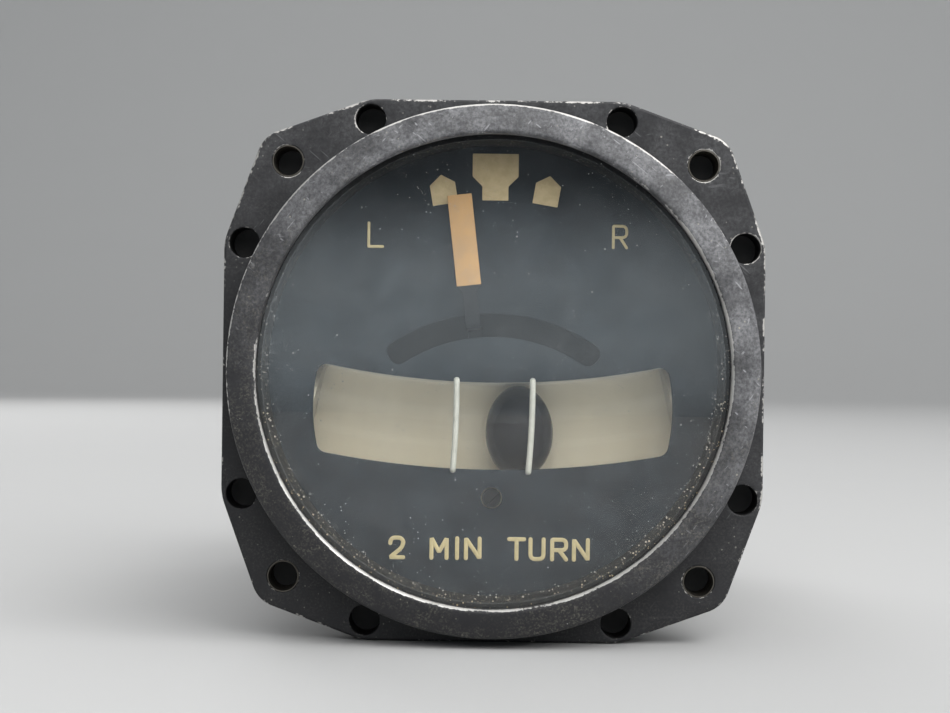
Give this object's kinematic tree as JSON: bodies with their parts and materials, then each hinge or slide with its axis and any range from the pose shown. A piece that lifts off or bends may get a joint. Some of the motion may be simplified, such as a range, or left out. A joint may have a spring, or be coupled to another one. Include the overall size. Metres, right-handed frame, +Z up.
{
  "type": "aircraft turn and slip indicator",
  "caption": "Round-faced aircraft panel instrument: a gyro-driven turn hand over a black dial with cream index marks, and a curved liquid tube with a black slip ball.",
  "frame": {"origin": "centre of the flange face that seats against the back of the panel", "axes": "+X to the right of the dial as its reader sees it, +Y back into the panel, +Z up"},
  "size_m": [0.082, 0.1235, 0.082],
  "materials": {
    "case_paint": "satin black baked enamel on die-cast aluminium, chipped at the edges",
    "bezel_paint": "worn semi-gloss black enamel on turned aluminium",
    "cover_paint": "satin black enamel on cast aluminium",
    "insert_steel": "dull plated steel thread inserts",
    "cover_glass": "clear flat cover glass",
    "black_rubber": "black rubber seal",
    "dial_black": "matte black dial paint",
    "mark_paint": "aged cream luminous paint",
    "wire_white": "white painted wire",
    "backing_cream": "aged cream card",
    "tube_glass": "clear glass tube filled with damping liquid",
    "stopper": "brown stopper",
    "plate_aluminium": "machined aluminium",
    "steel": "plain steel",
    "dark_screw": "blackened steel screw",
    "rear_screws": "plated steel screws, dulled",
    "brass": "turned brass",
    "gasket_fibre": "dark fibre gasket",
    "screen_mesh": "fine wire gauze",
    "hand_paint": "orange luminous paint on a black arm",
    "ball_black": "polished black ball"
  },
  "bodies": {
    "case": {"case_body": "case_paint", "mounting_inserts": "insert_steel", "bezel_ring": "bezel_paint", "cover_glass": "cover_glass", "glass_gasket": "black_rubber", "dial_spacer": "dial_black", "dial_plate": "dial_black", "dial_marks": "mark_paint", "index_wires": "wire_white", "inclinometer_holder": "plate_aluminium", "tube_backing": "backing_cream", "inclinometer_tube": "tube_glass", "tube_stoppers": "stopper", "holder_screws": "steel", "staff_bearing_screw": "dark_screw", "staff_rear_bush": "brass", "front_plate": "plate_aluminium", "frame_pillars": "plate_aluminium", "pillar_screws": "rear_screws", "limit_stops": "steel", "gimbal_front_bearing": "steel", "gimbal_rear_bearing": "steel", "damper_cylinder": "brass", "damper_screws": "steel", "spring_stud": "rear_screws", "centering_spring": "steel", "air_nozzle": "brass", "rear_gasket": "gasket_fibre", "rear_cover": "cover_paint", "rear_cover_screws": "rear_screws", "rear_bearing_plug": "brass", "suction_nipple": "brass", "inlet_screen": "screen_mesh", "inlet_cap": "brass"},
    "gimbal": {"gimbal_frame": "plate_aluminium", "gimbal_pivots": "steel", "drive_crank": "brass", "drive_pin": "steel", "rear_crank": "brass", "rear_crank_pins": "steel", "balance_weight": "brass", "rotor_bearings": "steel", "bearing_caps": "brass"},
    "rotor": {"rotor_wheel": "brass", "rotor_axle": "steel"},
    "hand": {"hand_staff": "steel", "hand_fork": "brass", "turn_hand": "hand_paint", "hand_weight": "brass"},
    "damper": {"damper_piston": "brass", "damper_rod": "steel"},
    "damping_screw": {"damping_screw": "brass"},
    "ball": {"slip_ball": "ball_black"}
  },
  "joints": [
    {"name": "gimbal_tilt", "type": "hinge", "parent": "case", "child": "gimbal", "pos_m": [0, 0.0593, 0], "axis": [0, 1, 0], "range_deg": [-15.9, 9.1], "stiffness_Nm_per_rad": 0.05, "deforming": ["centering_spring"]},
    {"name": "rotor_spin", "type": "hinge", "parent": "gimbal", "child": "rotor", "pos_m": [0, 0.0593, 0], "axis": [0.9982, 0, -0.0594], "continuous": true},
    {"name": "hand_swing", "type": "hinge", "parent": "case", "child": "hand", "pos_m": [0, 0.02, -0.0195], "axis": [0, 1, 0], "range_deg": [-16.69, 29.16]},
    {"name": "damper_slide", "type": "slide", "parent": "case", "child": "damper", "axis": [0, 0, 1], "range_m": [-0.00304, 0.00528]},
    {"name": "ball_roll", "type": "hinge", "parent": "case", "child": "ball", "pos_m": [0, 0.01265, 0.1257], "axis": [0, 1, 0], "range_deg": [-7.8, 11.4]},
    {"name": "damping_adjust", "type": "hinge", "parent": "case", "child": "damping_screw", "pos_m": [0.01877, 0.098, -0.02134], "axis": [0, 1, 0], "range_deg": [-180, 360]}
  ],
  "couplings": [
    {"joint": "hand_swing", "follows": "gimbal_tilt", "ratio": -1.83},
    {"joint": "damper_slide", "follows": "gimbal_tilt", "m_per_rad": -0.01885}
  ]
}
